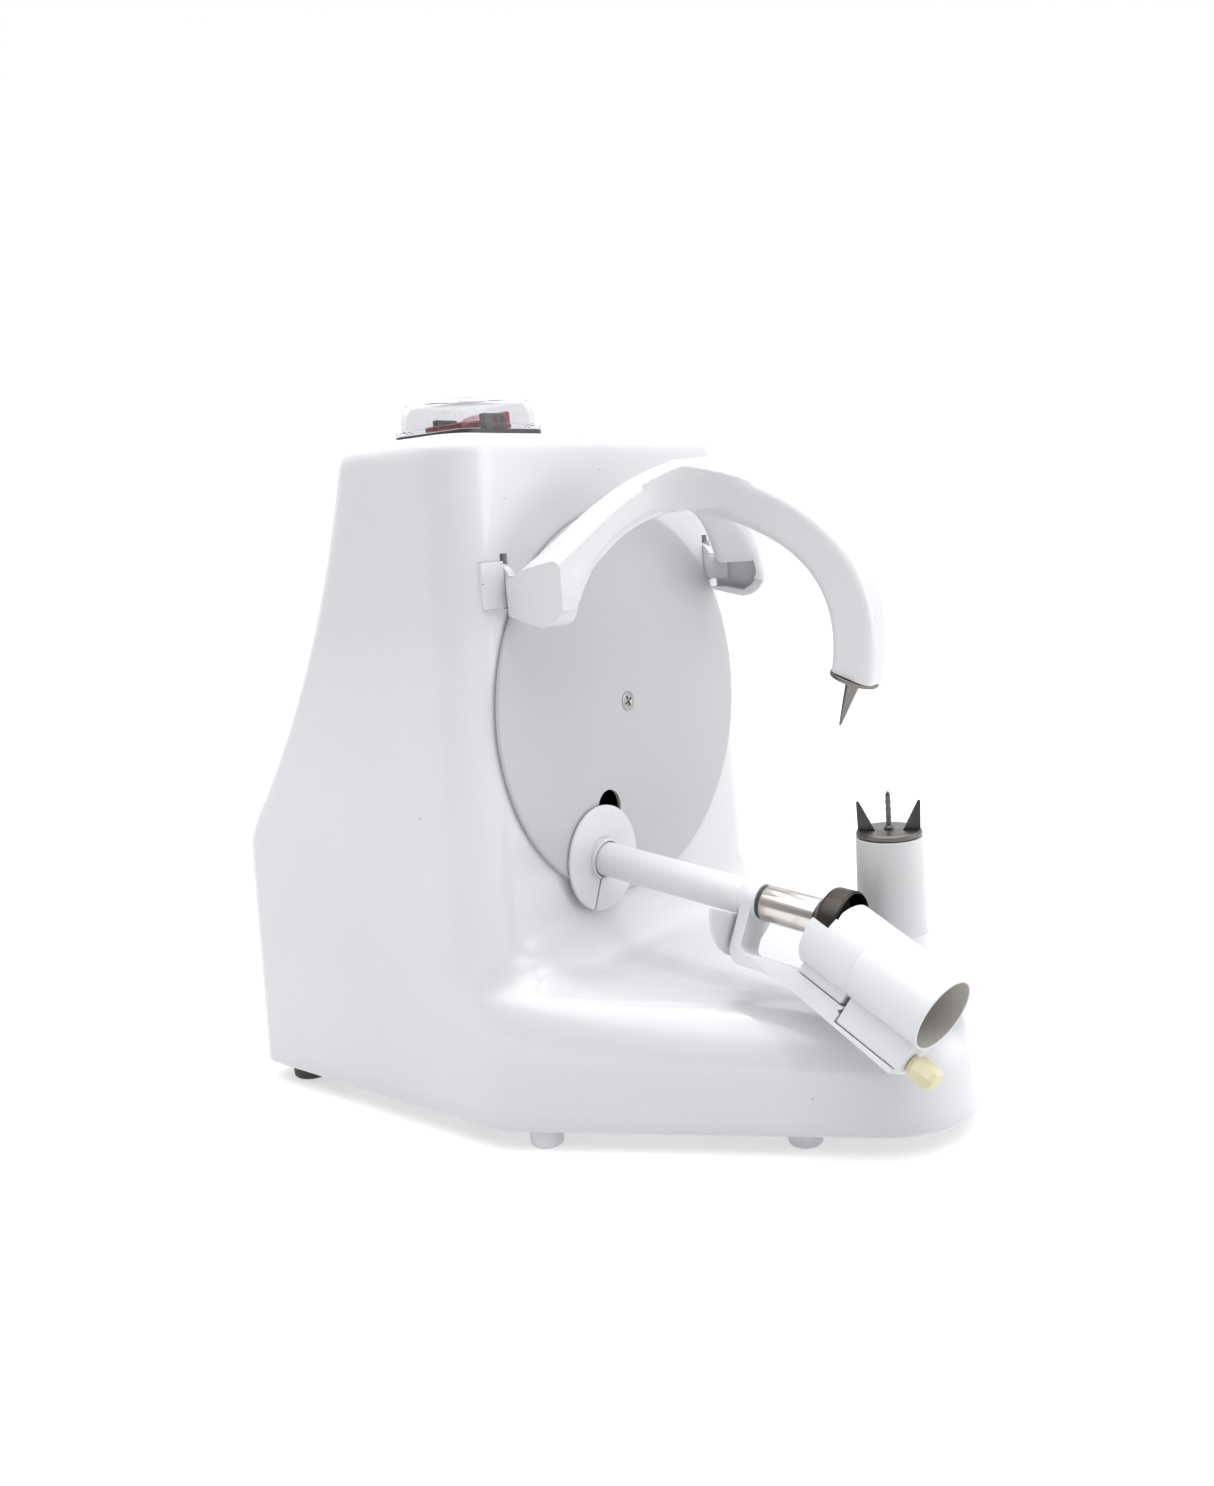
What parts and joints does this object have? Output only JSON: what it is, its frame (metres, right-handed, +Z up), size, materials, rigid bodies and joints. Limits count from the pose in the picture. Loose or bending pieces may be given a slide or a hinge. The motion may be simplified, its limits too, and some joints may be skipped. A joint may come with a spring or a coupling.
{
  "type": "electric fruit peeler",
  "caption": "Electric countertop fruit peeler with a moulded housing, a driven fork, a lifting wishbone arm with a spike, and a disc-mounted peeling arm with a peel chute.",
  "frame": {"origin": "centre of the bounding box at the bottom of the feet", "axes": "+X from the tower to the fruit, +Z up"},
  "size_m": [0.3318, 0.214, 0.305],
  "materials": {
    "housing_white": "glossy",
    "foot_white": "satin",
    "rubber_black": "matte",
    "post_white": "satin",
    "disc_white": "satin",
    "arm_white": "glossy",
    "head_white": "satin",
    "gear_nylon": "satin",
    "stainless": "brushed",
    "fork_steel": "satin",
    "cutter_steel": "satin",
    "bright_steel": "satin",
    "motor_steel": "satin",
    "bronze": "satin",
    "black_plastic": "matte",
    "smoky_cover": "clear",
    "rocker_red": "glossy"
  },
  "bodies": {
    "base": {"housing": "housing_white", "base_plate": "housing_white", "base_screws": "bright_steel", "foot_tower_left": "foot_white", "foot_tower_right": "foot_white", "foot_nose_left": "foot_white", "foot_nose_right": "foot_white", "foot_rear_left": "rubber_black", "foot_rear_right": "rubber_black", "post_collar": "housing_white", "spindle_post": "post_white", "spindle_bush": "bronze", "step_bearing": "black_plastic", "drive_belt": "rubber_black", "spindle_motor": "motor_steel", "motor_mount": "bright_steel", "chassis_plate": "bright_steel", "disc_bearing": "motor_steel", "disc_motor": "motor_steel", "hub_left": "housing_white", "hub_right": "housing_white", "hub_pin_left": "stainless", "hub_pin_right": "stainless", "switch_frame": "black_plastic", "switch_cover": "smoky_cover", "switch_body": "black_plastic", "mains_inlet": "black_plastic"},
    "spindle": {"spindle_shaft": "bright_steel", "fork_cap": "fork_steel", "centre_pin": "fork_steel", "driven_pulley": "black_plastic"},
    "motor_rotor": {"drive_pulley": "black_plastic"},
    "disc": {"disc": "disc_white", "disc_screw": "stainless", "disc_shaft": "bright_steel", "disc_gear": "gear_nylon", "arm_clevis": "bright_steel", "arm_pivot_pin": "bright_steel", "arm_spring": "bright_steel"},
    "disc_pinion": {"disc_pinion": "bright_steel"},
    "slot_cover": {"slot_cover": "disc_white"},
    "peel_arm": {"arm_tube": "head_white", "blade_bracket": "head_white", "peel_deflector": "disc_white", "holder_seal": "rubber_black", "blade_holder": "stainless", "ring_blade": "cutter_steel"},
    "chute": {"peel_chute": "head_white"},
    "knob": {"adjuster_knob": "gear_nylon"},
    "upper_arm": {"upper_arm": "arm_white", "arm_foot_left": "arm_white", "arm_foot_right": "arm_white", "spike_bush": "bronze"},
    "spike": {"spike_plate": "stainless"},
    "rocker": {"switch_rocker": "rocker_red"}
  },
  "joints": [
    {"name": "spindle_spin", "type": "hinge", "parent": "base", "child": "spindle", "pos_m": [0.1185, 0, 0.1], "axis": [0, 0, 1], "continuous": true},
    {"name": "motor_spin", "type": "hinge", "parent": "base", "child": "motor_rotor", "pos_m": [-0.0504, 0, 0.03], "axis": [0, 0, 1], "continuous": true},
    {"name": "disc_sweep", "type": "hinge", "parent": "base", "child": "disc", "pos_m": [-0.0074, 0, 0.171], "axis": [-1, 0, 0], "range_deg": [0, 85]},
    {"name": "pinion_turn", "type": "hinge", "parent": "base", "child": "disc_pinion", "pos_m": [-0.0464, 0.05865, 0.171], "axis": [-1, 0, 0], "range_deg": [-284, 0]},
    {"name": "cover_slide", "type": "slide", "parent": "disc", "child": "slot_cover", "axis": [0, 0.3907, 0.9205], "range_m": [0, 0.0129]},
    {"name": "arm_swing", "type": "hinge", "parent": "disc", "child": "peel_arm", "pos_m": [-0.0674, -0.02526, 0.11149], "axis": [0, -0.9205, 0.3907], "range_deg": [0, 12]},
    {"name": "chute_slide", "type": "slide", "parent": "peel_arm", "child": "chute", "axis": [0.8996, -0.1707, -0.4021], "range_m": [0, 0.0015]},
    {"name": "knob_turn", "type": "hinge", "parent": "chute", "child": "knob", "pos_m": [0.15001, -0.05154, 0.04958], "axis": [0.8996, -0.1707, -0.4021], "range_deg": [0, 720]},
    {"name": "arm_lift", "type": "hinge", "parent": "base", "child": "upper_arm", "pos_m": [-0.0144, 0, 0.2295], "axis": [0, -1, 0], "range_deg": [0, 32]},
    {"name": "spike_spin", "type": "hinge", "parent": "upper_arm", "child": "spike", "pos_m": [0.1064, 0, 0.1837], "axis": [0.3584, 0, 0.9336], "continuous": true},
    {"name": "switch_rock", "type": "hinge", "parent": "base", "child": "rocker", "pos_m": [-0.0444, -0.0495, 0.2955], "axis": [-1, 0, 0], "range_deg": [0, 14]}
  ],
  "couplings": [
    {"joint": "motor_spin", "follows": "spindle_spin", "ratio": 1.6},
    {"joint": "pinion_turn", "follows": "disc_sweep", "ratio": -3.3333},
    {"joint": "arm_swing", "follows": "disc_sweep", "ratio": 0.14118},
    {"joint": "cover_slide", "follows": "disc_sweep", "m_per_rad": 0.0086582},
    {"joint": "knob_turn", "follows": "chute_slide", "rad_per_m": 8377.5}
  ]
}
